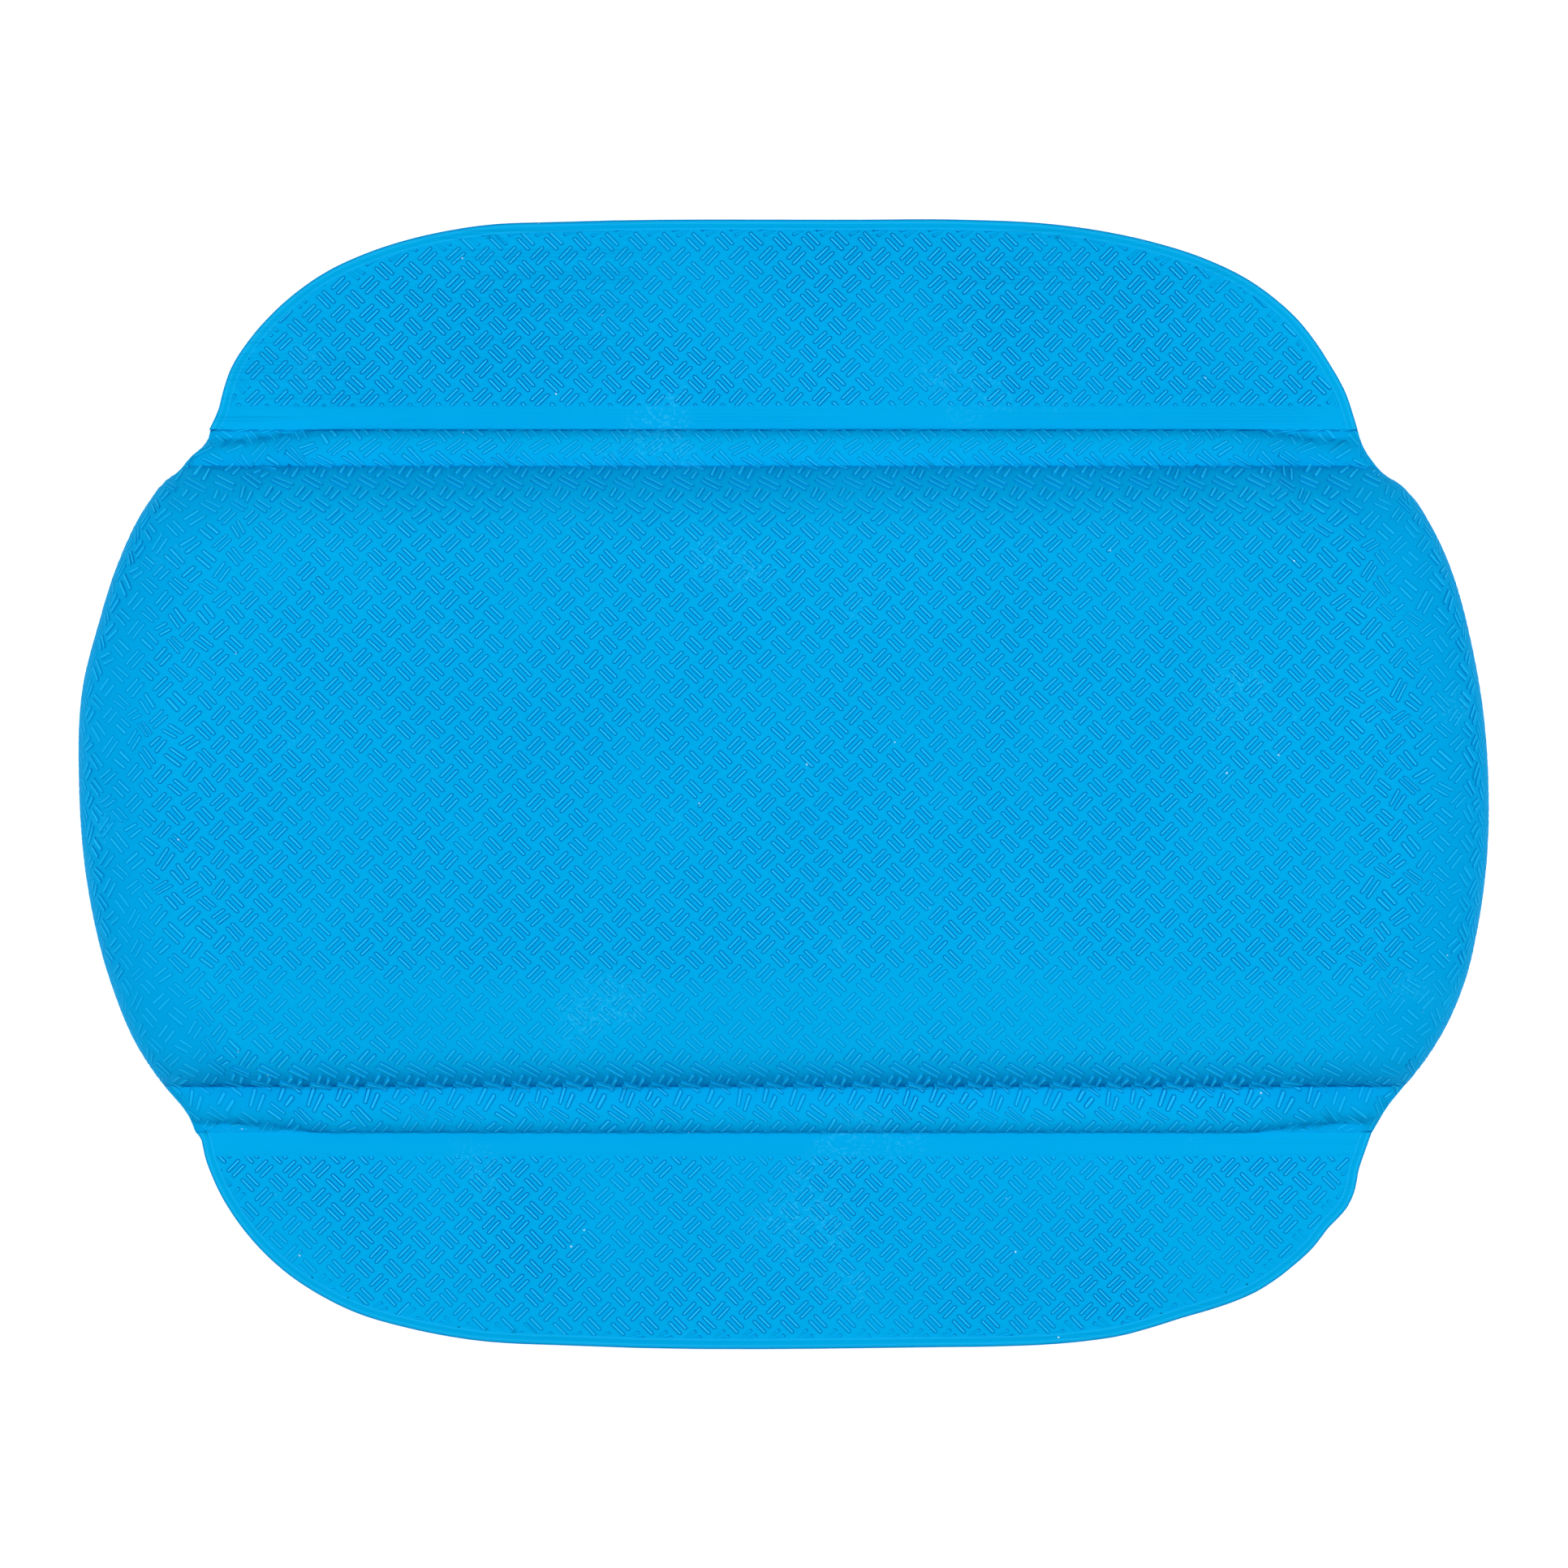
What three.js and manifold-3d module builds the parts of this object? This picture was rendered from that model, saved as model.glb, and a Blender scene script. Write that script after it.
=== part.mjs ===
// Moulded bath pillow: a thick foam pad in an embossed vinyl cover, with a flat flap along each long side.
// Each flap folds about its own line, and stands on suction cups. Millimetres, +Z up out of the pad's face.
// The origin is on the plane the suction cups stand on, under the middle of the outline.

import * as THREE from 'three';
import Module from 'manifold-3d';
import { mergeVertices } from 'three/addons/utils/BufferGeometryUtils.js';

const wasm = await Module();
wasm.setup();

// Overall size
const LENGTH = 350;
const HALF_WIDTH = 140.25;
const PAD_TOP = 37;

// Levels
const BACK_BOTTOM = 12;
const BACK_TOP = 13.3;
const SKIN_BOTTOM = 13.6;
const FLAP_TOP = 16;
const FOAM_SPLIT = 20;

// The pad's ends
const END_RADIUS = 145;
const END_ARC_STEPS = 16;
const END_ROLL_DEPTH = 15;
const END_ROLL_HEIGHT = 20;
const END_ROLL_STEPS = 5;
const END_TOP_MARGIN = 0.6;

// Walls and gaps
const COVER_WALL = 1.6;
const GAP = 0.3;
const NOSE_RADIUS = (FLAP_TOP - BACK_BOTTOM) / 2;
const NOSE_STEPS = 8;
const FLAP_CURVE_STEPS = 26;

// Each long side. crease, foot and hinge are distances from the centre line: where the pad's wall meets its
// shoulder, where the shoulder meets the flat band, and the flap's fold. root is the half length at the foot.
// shoulder and wall go from the foot up to the crown as [distance, level]; flap goes out from the fold to the
// middle of the long edge as [half length, distance].
const UPPER = {
  name: 'upper',
  sign: 1,
  crease: 78,
  foot: 88,
  hinge: 90.8,
  root: 143.7,
  shoulder: [[88, 16], [87.4, 18.4], [85.4, 20.4], [82.5, 21], [79.6, 20.8], [78, 20.2]],
  wall: [[74, 25.2], [69.5, 29.8], [64.5, 33.2], [59.5, 35], [50, 36.1]],
  flap: [[143.7, 87], [139.7, 97], [128, 115], [104, 131], [68, 139], [0, HALF_WIDTH]],
};
const LOWER = {
  name: 'lower',
  sign: -1,
  crease: 75,
  foot: 86.5,
  hinge: 89.4,
  root: 146.2,
  shoulder: [[86.5, 16], [85.8, 18.6], [83.6, 20.6], [80, 21.2], [76.8, 20.8], [75, 20.2]],
  wall: [[73.2, 24.6], [71, 28.8], [68.6, 31.2], [60, 33.8], [46, 36.2]],
  flap: [[146.2, 86], [141, 101.5], [131, 115.5], [110, 130.4], [85, 137.4], [45, 140], [0, HALF_WIDTH]],
};

// Suction cups: a row along each flap
const CUP_XS = [-96, -32, 32, 96];
const CUP_Y = 112;
const CUP_SIDES = 24;
const CUP_NECK_RADIUS = 3.5;
const CUP_HEAD_RADIUS = 6;
const CUP_HEAD_TOP = 14.6;
const CUP_HOLE_RADIUS = 3.9;
const CUP_POCKET_RADIUS = 6.5;
// [radius, level] from the hollow's top, over the flat rim, up the outside, round the neck and over the head
const CUP_PROFILE = [
  [0, 4.2], [7, 3.2], [12, 1.2], [14.4, 0],
  [16, 0], [16, 0.8], [13.6, 2.6], [9.4, 5.4], [6.4, 7.8], [5.4, 9.8], [5.4, BACK_BOTTOM - GAP],
  [CUP_NECK_RADIUS, BACK_BOTTOM - GAP], [CUP_NECK_RADIUS, SKIN_BOTTOM],
  [CUP_HEAD_RADIUS, SKIN_BOTTOM], [CUP_HEAD_RADIUS, CUP_HEAD_TOP], [0, CUP_HEAD_TOP],
];

const LOOKS = {
  embossedVinyl: { color: '#03a3e6', roughness: 0.55, metalness: 0 },
  backVinyl: { color: '#0a98d8', roughness: 0.6, metalness: 0 },
  foam: { color: '#e8e3d2', roughness: 0.95, metalness: 0 },
  cup: { color: '#cfe2ea', roughness: 0.2, metalness: 0 },
};

const point = (x, y) => new THREE.Vector2(x, y);

const mirrored = (points) => points.map(({ x, y }) => point(-x, y)).reverse();

// The closed, anticlockwise outline moved inwards, with its corners kept sharp
function inset(points, depth) {
  const count = points.length;
  return points.map((corner, i) => {
    const before = corner.clone().sub(points[(i + count - 1) % count]).normalize();
    const after = points[(i + 1) % count].clone().sub(corner).normalize();
    const inwards = point(-before.y - after.y, before.x + after.x);
    return corner.clone().addScaledVector(inwards, depth / (1 + before.dot(after)));
  });
}

function solidOf(geometry) {
  geometry.deleteAttribute('normal');
  geometry.deleteAttribute('uv');
  const merged = mergeVertices(geometry, 1e-4);
  return new wasm.Manifold(new wasm.Mesh({
    numProp: 3,
    vertProperties: merged.attributes.position.array,
    triVerts: Uint32Array.from(merged.index.array),
  }));
}

function slab(low, high) {
  const box = new THREE.BoxGeometry(2 * LENGTH, 2 * LENGTH, high - low);
  box.translate(0, 0, (low + high) / 2);
  return solidOf(box);
}

// A section in Y and Z, swept along X past both ends
function sweptAlongX(section) {
  const sweep = new THREE.ExtrudeGeometry(new THREE.Shape(section), { depth: 2 * LENGTH, bevelEnabled: false });
  sweep.translate(0, 0, -LENGTH);
  sweep.applyMatrix4(new THREE.Matrix4().makeBasis(
    new THREE.Vector3(0, 1, 0),
    new THREE.Vector3(0, 0, 1),
    new THREE.Vector3(1, 0, 0),
  ));
  return solidOf(sweep);
}

function cylinderAt(x, y, radius, low, high) {
  const cylinder = new THREE.CylinderGeometry(radius, radius, high - low, CUP_SIDES);
  cylinder.rotateX(Math.PI / 2);
  cylinder.translate(x, y, (low + high) / 2);
  return solidOf(cylinder);
}

// The pad's section across its width, from far below up over both shoulders and the crown
function padSection() {
  const rise = (side) => [[side.foot, -LENGTH], ...side.shoulder, ...side.wall];
  const right = rise(UPPER).map(([y, z]) => point(y, z));
  const left = rise(LOWER).map(([y, z]) => point(-y, z)).reverse();
  return [...right, point(0, PAD_TOP), ...left];
}

// The pad's outline from above. It runs on past both feet, so that only the section ends the pad there.
function padOutline() {
  const arcEnd = (side) => side.sign * Math.asin(side.crease / END_RADIUS);
  const centre = LENGTH / 2 - END_RADIUS;
  const arc = new THREE.EllipseCurve(centre, 0, END_RADIUS, END_RADIUS, arcEnd(LOWER), arcEnd(UPPER));
  const taper = (side) => {
    const corner = point(centre + Math.sqrt(END_RADIUS ** 2 - side.crease ** 2), side.sign * side.crease);
    const foot = point(side.root, side.sign * side.foot);
    return corner.lerp(foot, 2);
  };
  const right = [taper(LOWER), ...arc.getPoints(END_ARC_STEPS), taper(UPPER)];
  return [...right, ...mirrored(right)];
}

// The pad's outer form moved inwards by depth: the section swept along, cut to the outline with rolled ends
function padForm(depth) {
  const plan = new THREE.ExtrudeGeometry(new THREE.Shape(inset(padOutline(), depth)), {
    depth: 2 * PAD_TOP,
    bevelThickness: END_ROLL_HEIGHT,
    bevelSize: END_ROLL_DEPTH,
    bevelOffset: -END_ROLL_DEPTH,
    bevelSegments: END_ROLL_STEPS,
  });
  plan.translate(0, 0, PAD_TOP + END_TOP_MARGIN - depth - END_ROLL_HEIGHT - 2 * PAD_TOP);
  return sweptAlongX(inset(padSection(), depth)).intersect(solidOf(plan));
}

// One flap from its fold outwards, both plies together, with a round nose about the fold line
function flapForm(side) {
  const middle = (BACK_BOTTOM + FLAP_TOP) / 2;
  const nose = new THREE.EllipseCurve(side.hinge, middle, NOSE_RADIUS, NOSE_RADIUS, Math.PI / 2, 1.5 * Math.PI);
  const section = [...nose.getPoints(NOSE_STEPS), point(LENGTH, BACK_BOTTOM), point(LENGTH, FLAP_TOP)];
  const edge = new THREE.SplineCurve(side.flap.map(([x, y]) => point(x, y))).getPoints(FLAP_CURVE_STEPS);
  const half = edge.slice(0, -1);
  const outline = [...half, point(0, HALF_WIDTH), ...mirrored(half)];
  const plan = new THREE.ExtrudeGeometry(new THREE.Shape(outline), { depth: PAD_TOP, bevelEnabled: false });
  const form = sweptAlongX(section).intersect(solidOf(plan));
  return side.sign > 0 ? form : form.mirror([0, 1, 0]);
}

const cupPlaces = (side) => CUP_XS.map((x) => [x, side.sign * CUP_Y]);

function flapSkin(side) {
  let skin = flapForm(side).intersect(slab(SKIN_BOTTOM, FLAP_TOP));
  for (const [x, y] of cupPlaces(side)) {
    skin = skin.subtract(cylinderAt(x, y, CUP_POCKET_RADIUS, BACK_TOP, CUP_HEAD_TOP + GAP));
  }
  return skin;
}

function flapBacking(side) {
  let backing = flapForm(side).intersect(slab(BACK_BOTTOM, BACK_TOP));
  for (const [x, y] of cupPlaces(side)) {
    backing = backing.subtract(cylinderAt(x, y, CUP_HOLE_RADIUS, 0, FLAP_TOP));
  }
  return backing;
}

function suctionCup() {
  const cup = new THREE.LatheGeometry(CUP_PROFILE.map(([radius, level]) => point(radius, level)), CUP_SIDES);
  cup.rotateX(Math.PI / 2);
  return solidOf(cup);
}

const pillow = new THREE.Group();

function addPiece(name, solid, look) {
  const { vertProperties, triVerts } = solid.getMesh();
  const geometry = new THREE.BufferGeometry();
  geometry.setAttribute('position', new THREE.BufferAttribute(vertProperties, 3));
  geometry.setIndex(new THREE.BufferAttribute(triVerts, 1));
  const piece = new THREE.Mesh(geometry, new THREE.MeshStandardMaterial(look));
  piece.name = name;
  pillow.add(piece);
  return piece;
}

const cover = padForm(0).subtract(padForm(COVER_WALL)).intersect(slab(SKIN_BOTTOM, LENGTH));
const filling = padForm(COVER_WALL + GAP);
addPiece('pad_cover', cover, LOOKS.embossedVinyl);
addPiece('foam_crown', filling.intersect(slab(FOAM_SPLIT + GAP, LENGTH)), LOOKS.foam);
addPiece('foam_base', filling.intersect(slab(SKIN_BOTTOM, FOAM_SPLIT)), LOOKS.foam);
addPiece('pad_back', padForm(0).intersect(slab(BACK_BOTTOM, BACK_TOP)), LOOKS.backVinyl);

for (const side of [UPPER, LOWER]) {
  addPiece(`${side.name}_flap_skin`, flapSkin(side), LOOKS.embossedVinyl);
  addPiece(`${side.name}_flap_backing`, flapBacking(side), LOOKS.backVinyl);
  cupPlaces(side).forEach(([x, y], i) => {
    const cup = addPiece(`${side.name}_suction_cup_${i + 1}`, suctionCup(), LOOKS.cup);
    cup.position.set(x, y, 0);
  });
}

export default pillow;
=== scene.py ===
import math

import bmesh
import bpy
import numpy as np
from mathutils import Matrix, Vector, geometry


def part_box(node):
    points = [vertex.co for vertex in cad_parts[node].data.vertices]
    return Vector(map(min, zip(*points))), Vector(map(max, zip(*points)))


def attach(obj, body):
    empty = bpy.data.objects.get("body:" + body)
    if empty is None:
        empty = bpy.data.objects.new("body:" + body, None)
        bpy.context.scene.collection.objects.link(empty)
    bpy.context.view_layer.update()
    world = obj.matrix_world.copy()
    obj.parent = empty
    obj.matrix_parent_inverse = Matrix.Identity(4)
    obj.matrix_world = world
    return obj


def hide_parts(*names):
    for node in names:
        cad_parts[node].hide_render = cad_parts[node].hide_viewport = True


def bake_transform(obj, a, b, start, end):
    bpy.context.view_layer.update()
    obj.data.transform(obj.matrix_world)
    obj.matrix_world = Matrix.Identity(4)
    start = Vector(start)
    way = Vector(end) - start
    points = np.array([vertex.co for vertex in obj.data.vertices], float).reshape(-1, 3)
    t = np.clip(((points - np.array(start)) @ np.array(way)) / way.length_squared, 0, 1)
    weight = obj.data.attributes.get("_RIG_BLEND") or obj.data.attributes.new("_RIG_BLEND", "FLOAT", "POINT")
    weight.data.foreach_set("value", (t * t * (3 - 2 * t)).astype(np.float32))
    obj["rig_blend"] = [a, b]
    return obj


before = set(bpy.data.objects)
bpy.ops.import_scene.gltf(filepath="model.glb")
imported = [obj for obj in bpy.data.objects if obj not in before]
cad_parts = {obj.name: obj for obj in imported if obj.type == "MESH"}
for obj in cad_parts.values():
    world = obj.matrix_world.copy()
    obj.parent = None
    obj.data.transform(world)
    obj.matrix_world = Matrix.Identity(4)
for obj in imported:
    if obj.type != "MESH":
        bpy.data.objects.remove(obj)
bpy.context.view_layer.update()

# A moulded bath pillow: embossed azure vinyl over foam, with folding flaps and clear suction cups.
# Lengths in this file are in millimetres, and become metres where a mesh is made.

MM = 0.001


def box_mm(node):
    """The low and high corners of a CAD node's box."""
    low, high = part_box(node)
    return np.array(low) / MM, np.array(high) / MM


PAD_LOW, PAD_HIGH = box_mm("pad_cover")
HALF_LENGTH = PAD_HIGH[0]
PAD_TOP = PAD_HIGH[2]
BACK_BOTTOM, BACK_TOP = (corner[2] for corner in box_mm("pad_back"))
FLAP_TOP = box_mm("upper_flap_skin")[1][2]
# The cover closes down onto the back sheet at this level.
RIM = BACK_TOP

# The two long sides of the pillow. Distances across it are counted outwards from the centre line.
#   sign            1 on the side where y is positive, -1 on the other
#   foot            where the shoulder meets the flap
#   shoulder        the shoulder's section, as (in from the foot, up from the flap's top)
#   wall            the wall's section, as (in from the crease, up from it)
#   right, left     the flap's outline from its foot outwards, as (half length, distance), as it was trimmed
#   shift           where the flap's basket weave starts, along and across
#   pull, stretch   how far the pad's emboss was pulled along and across, at each of PULL_STATIONS
#   crease_shade    how much painted shade the ground gets on the wall beside the crease, and how far up that reaches
#   foot_shade      how dark the painted shade along the foot is
#   bold            how much taller the emboss stands low on the wall
#   tooled          how clear the tooling lines on the flap are
#   flap_relief, shoulder_relief   how tall the emboss stands there, where the pad's is 1
UPPER = {
    "name": "upper",
    "sign": 1,
    "foot": PAD_HIGH[1],
    "shoulder": [(0, 0), (0.5, 2.3), (2.2, 4.2), (5.0, 5.0), (7.8, 4.8), (9.2, 4.2)],
    "shift": (2.9, -2.9),
    "pull": (0, -1, -7, -3.5),
    "stretch": (0, 0, 2.2, 2.2),
    "crease_shade": (0.45, 1.6),
    "foot_shade": 0.75,
    "tooled": 1.0,
    "bold": 0.3,
    "flap_relief": 0.95,
    "shoulder_relief": 0.6,
    "wall": [(0, 0), (2, 2.7), (4, 5.0), (8.5, 9.6), (13.5, 13), (18.5, 14.8), (28, 15.9)],
    "right": [(142.5, 88), (141.3, 92), (139.6, 97), (135.8, 104), (127.8, 115.2), (115.7, 125.1),
              (91.5, 134.7), (67.4, 139), (19, 140.2)],
    "left": [(142.8, 88), (140.9, 92), (138.1, 101.7), (127.8, 116.2), (115.9, 125.9), (92.3, 135.5),
             (77.6, 138.4), (40, 139.8)],
}
LOWER = {
    "name": "lower",
    "sign": -1,
    "foot": -PAD_LOW[1],
    "shoulder": [(0, 0), (0.6, 2.5), (2.9, 4.6), (6.5, 5.2), (9.7, 4.8), (11.5, 4.2)],
    "shift": (5.1, 3.2),
    "pull": (0, 1, 8, 11.9),
    "stretch": (0, 0, -3.6, -3.6),
    "crease_shade": (1.0, 2.7),
    "foot_shade": 0.1,
    "tooled": 0.4,
    "bold": 0.85,
    "flap_relief": 0.75,
    "shoulder_relief": 0.8,
    "wall": [(0, 0), (0.7, 2.2), (1.8, 4.6), (4, 8.6), (6.6, 11), (15, 13.7), (29, 16.0)],
    "right": [(146.0, 86.5), (144.2, 91.6), (142.8, 95.7), (141.7, 101.3), (139.8, 105.3), (135.2, 110.3),
              (131.3, 115.3), (126.6, 119.6), (122, 123.2), (117, 126.3), (111.5, 128.7), (99, 132.6),
              (83.5, 137.1), (67.4, 139.1), (40, 139.9)],
    "left": [(146.1, 86.5), (145.0, 87.8), (144.1, 91.6), (140.3, 101.3), (134, 111), (124.6, 120.6),
             (108.7, 130.3), (81.9, 137.4), (30, 139.9)],
}
SIDES = (UPPER, LOWER)

# How far beyond the crease each pull and stretch is given: high and low on the wall, at the crease and at
# the foot
PULL_STATIONS = (-17, -12, 0, 13)

# The pad's ends are arcs. Their edge rolls down to the rim as a superellipse, which is narrower where the
# pad is lower.
END_RADIUS = 145
END_ROLL = 15
END_ROLL_POWER = 2.3
ROLL_NARROWING = 0.6
LEAST_ROLL_HEIGHT = 0.5
# How far each end lies beyond its arc, from the lower side to the upper, as (y, distance): the moulding
# leans a little, and is tucked in beside the shoulders.
END_LEAN = {
    "right": [(-86.5, -0.2), (-80, -0.9), (-75, 0), (-70, 1.1), (-62, 2.2), (-50, 2.5), (-35, 1.5),
              (-15, 0.4), (0, -0.2), (30, -0.3), (65, 0.5), (70, 0.1), (74, -1.2), (77, -3.8), (80.5, -4.7),
              (84.5, -4.2), (88, -2.7)],
    "left": [(-86.5, -0.1), (-82, -1.4), (-75, -0.2), (-65, 0.9), (-50, 0.7), (-25, 0), (0, -0.1), (25, 1),
             (40, 0.6), (55, 1), (70, 0.7), (75, -0.2), (78, -2.2), (81, -2.5), (84.7, -4.1), (88, -2.7)],
}

# The shoulders' feet are drawn in by this much near the pad's ends. It fades in between these distances from
# the end, and between these from the centre line.
FOOT_DRAW = 3.3
FOOT_DRAW_ALONG = (62, 34)
FOOT_DRAW_ACROSS = (79, 87)
# The width of the line of painted shade along each foot
FOOT_LINE = 2.4

# The smooth band beside each foot, where the flap folds, and the smooth rim round the flap
BAND = 5.6
FLAP_RIM = 2.7

# The basket-weave emboss: square cells turned by 45 degrees, with two bars in each. BAR_SHOULDER and
# BAR_SINK are the heights of a bar's brow and of its foot, where its top is 1.
CELL = 4.985
RELIEF = 0.45
BAR_HALF_LENGTH = 0.463 * CELL
BAR_HALF_WIDTH = 0.103 * CELL
BAR_OFFSET = 0.182 * CELL
BAR_BEVEL = 0.28
BAR_SHOULDER = 0.8
BAR_SINK = -0.12

# How unevenly the emboss lies: quick and slow drift all over, and a jumble at the ends and the creases
DRIFT = 0.10
PAD_SLOW_DRIFT = 0.25
FLAP_SLOW_DRIFT = 0.3
END_JUMBLE = 0.65
CREASE_JUMBLE = 0.45


def smooth_curve(points, steps=12):
    """A curve through the points, with its tangents taken from the chords on either side."""
    points = np.array(points, float)
    knots = np.concatenate([[0], np.cumsum(np.linalg.norm(np.diff(points, axis=0), axis=1))])
    slopes = np.diff(points, axis=0) / np.diff(knots)[:, None]
    gaps = np.diff(knots)
    tangents = np.empty_like(points)
    tangents[0], tangents[-1] = slopes[0], slopes[-1]
    weight = (gaps[:-1] / (gaps[:-1] + gaps[1:]))[:, None]
    tangents[1:-1] = slopes[:-1] * (1 - weight) + slopes[1:] * weight
    at = np.concatenate([
        np.linspace(knots[i], knots[i + 1], steps, endpoint=False) for i in range(len(points) - 1)
    ] + [knots[-1:]])
    span = np.clip(np.searchsorted(knots, at, side="right") - 1, 0, len(points) - 2)
    t = ((at - knots[span]) / gaps[span])[:, None]
    gap = gaps[span][:, None]
    return (
        (2 * t**3 - 3 * t**2 + 1) * points[span]
        + (t**3 - 2 * t**2 + t) * gap * tangents[span]
        + (3 * t**2 - 2 * t**3) * points[span + 1]
        + (t**3 - t**2) * gap * tangents[span + 1]
    )


def smoothstep(low, high, value):
    """Rises smoothly from 0 at low to 1 at high."""
    t = np.clip((value - low) / (high - low), 0, 1)
    return t * t * (3 - 2 * t)


def ripple(p, q, wavelength, seed, waves=5):
    """A smooth, repeatable unevenness, mostly between -1 and 1."""
    random = np.random.default_rng(seed)
    total = np.zeros(np.broadcast(p, q).shape)
    for _ in range(waves):
        angle, phase = random.uniform(0, 2 * math.pi, 2)
        rate = 2 * math.pi / (wavelength * random.uniform(0.7, 1.5))
        total = total + np.sin(rate * (p * math.cos(angle) + q * math.sin(angle)) + phase)
    return total / math.sqrt(waves)


# The pad's section across its width, and its ends

def side_section(side):
    """The shoulder from foot to crease, and the wall from crease up to the crown, on one side."""
    shoulder = [(side["foot"] - inward, FLAP_TOP + up) for inward, up in side["shoulder"]]
    crease, level = shoulder[-1]
    wall = [(crease - inward, level + up) for inward, up in side["wall"]]
    return smooth_curve(shoulder), wall


def pad_section():
    upper_shoulder, upper_wall = side_section(UPPER)
    lower_shoulder, lower_wall = side_section(LOWER)
    lower_wall = [(-y, z) for y, z in lower_wall]
    crown = smooth_curve([*lower_wall, (0, PAD_TOP), *upper_wall[::-1]])
    lower_shoulder = lower_shoulder * [-1, 1]
    return np.vstack([lower_shoulder[:-1], crown, upper_shoulder[::-1][1:]])


SECTION_Y, SECTION_Z = pad_section().T
ARC = np.concatenate([[0], np.cumsum(np.hypot(np.diff(SECTION_Y), np.diff(SECTION_Z)))])
ARC -= np.interp(0, SECTION_Y, ARC)


def arc_at(y):
    """The distance along the section from the centre line to y, which is where y lies on the flat sheet."""
    return float(np.interp(y, SECTION_Y, ARC))


LEAN_CURVES = {end: smooth_curve(points) for end, points in END_LEAN.items()}


def crease_of(side):
    """The y of the crease between the shoulder and the wall."""
    return side["sign"] * (side["foot"] - side["shoulder"][-1][0])


def past_crease(side, q):
    """How far q lies beyond a side's crease, going outwards along the flat sheet."""
    return side["sign"] * (q - arc_at(crease_of(side)))


def pad_half_length(y, right):
    """How far the pad reaches from the middle at y."""
    arc = HALF_LENGTH - END_RADIUS + np.sqrt(END_RADIUS**2 - y**2)
    lean_right, lean_left = (np.interp(y, *LEAN_CURVES[end].T) for end in ("right", "left"))
    return arc + np.where(right, lean_right, lean_left)


def foot_draw(x, y):
    """How far the shoulders' feet are drawn in."""
    along = smoothstep(*(HALF_LENGTH - from_end for from_end in FOOT_DRAW_ALONG), np.abs(x))
    return FOOT_DRAW * along * smoothstep(*FOOT_DRAW_ACROSS, np.abs(y))


def section_level(x, y):
    """The section's level at y, with both feet drawn in a little towards the pad's ends."""
    return np.interp(y + np.sign(y) * foot_draw(x, y), SECTION_Y, SECTION_Z)


def roll_run(height):
    """How far in from the end the roll starts, where the pad is this high."""
    return END_ROLL * (np.maximum(height, LEAST_ROLL_HEIGHT) / (PAD_TOP - RIM)) ** ROLL_NARROWING


# The roll's length has no formula, so it is tabled over its aspect, which is its height over its run.
ROLL_ANGLES = np.linspace(0, math.pi / 2, 80)
ROLL_OUT = np.sin(ROLL_ANGLES) ** (2 / END_ROLL_POWER)
ROLL_UP = np.cos(ROLL_ANGLES) ** (2 / END_ROLL_POWER)
ROLL_ASPECTS = np.linspace(0.2, 2.4, 34)
ROLL_LENGTHS = np.array([
    np.concatenate([[0], np.cumsum(np.hypot(np.diff(ROLL_OUT), aspect * np.diff(ROLL_UP)))])
    for aspect in ROLL_ASPECTS
])
FRACTIONS = np.linspace(0, 1, 120)
ROLL_BY_FRACTION = np.array([
    [np.interp(FRACTIONS, lengths / lengths[-1], curve) for curve in (ROLL_OUT, ROLL_UP)]
    for lengths in ROLL_LENGTHS
])


def roll_at(aspect, fraction):
    """How far out and how high the roll is, both from 0 to 1, a fraction of the way along its length."""
    row = np.interp(aspect, ROLL_ASPECTS, np.arange(len(ROLL_ASPECTS)))
    column = np.clip(fraction, 0, 1) * (len(FRACTIONS) - 1)
    r0 = np.minimum(row.astype(int), len(ROLL_ASPECTS) - 2)
    c0 = np.minimum(column.astype(int), len(FRACTIONS) - 2)
    r, c = row - r0, column - c0
    return [
        (ROLL_BY_FRACTION[r0, k, c0] * (1 - c) + ROLL_BY_FRACTION[r0, k, c0 + 1] * c) * (1 - r)
        + (ROLL_BY_FRACTION[r0 + 1, k, c0] * (1 - c) + ROLL_BY_FRACTION[r0 + 1, k, c0 + 1] * c) * r
        for k in (0, 1)
    ]


def pad_frame_at(p, q):
    """The pad's reach, roll and height on the line that p and q lie on."""
    y = np.interp(q, ARC, SECTION_Y)
    reach = pad_half_length(y, p > 0)
    height = section_level(p, y) - RIM
    run = roll_run(height)
    aspect = height / run
    length = run * np.interp(aspect, ROLL_ASPECTS, ROLL_LENGTHS[:, -1])
    return y, reach, height, run, aspect, length


def pad_end(p, q):
    """The value of |p| at which the sheet reaches the pad's rim."""
    _, reach, _, run, _, length = pad_frame_at(p, q)
    return reach - run + length


def pad_place(p, q):
    """Where the point p along and q across the flat sheet lies on the pad."""
    y, reach, height, run, aspect, length = pad_frame_at(p, q)
    past = np.abs(p) - (reach - run)
    out, up = roll_at(aspect, past / length)
    x = np.where(past > 0, reach - run + run * out, np.abs(p)) * np.sign(p)
    z = RIM + height * np.where(past > 0, up, 1)
    uneven = 0.22 * ripple(p, q, 55, 11) * smoothstep(0, 30, -past) * smoothstep(80, 60, np.abs(y))
    return np.stack([x, y, z + uneven], axis=1)


def pad_normals(p, q, step=0.05):
    """The pad's normals at p and q, from how its surface changes over a small step."""
    along = pad_place(p + step, q) - pad_place(p - step, q)
    across = pad_place(p, q + step) - pad_place(p, q - step)
    normal = np.cross(along, across)
    return normal / np.maximum(np.linalg.norm(normal, axis=1, keepdims=True), 1e-9)


# The embossed sheet. It is made flat, p along and q across the pillow, and then laid on its surface.

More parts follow.
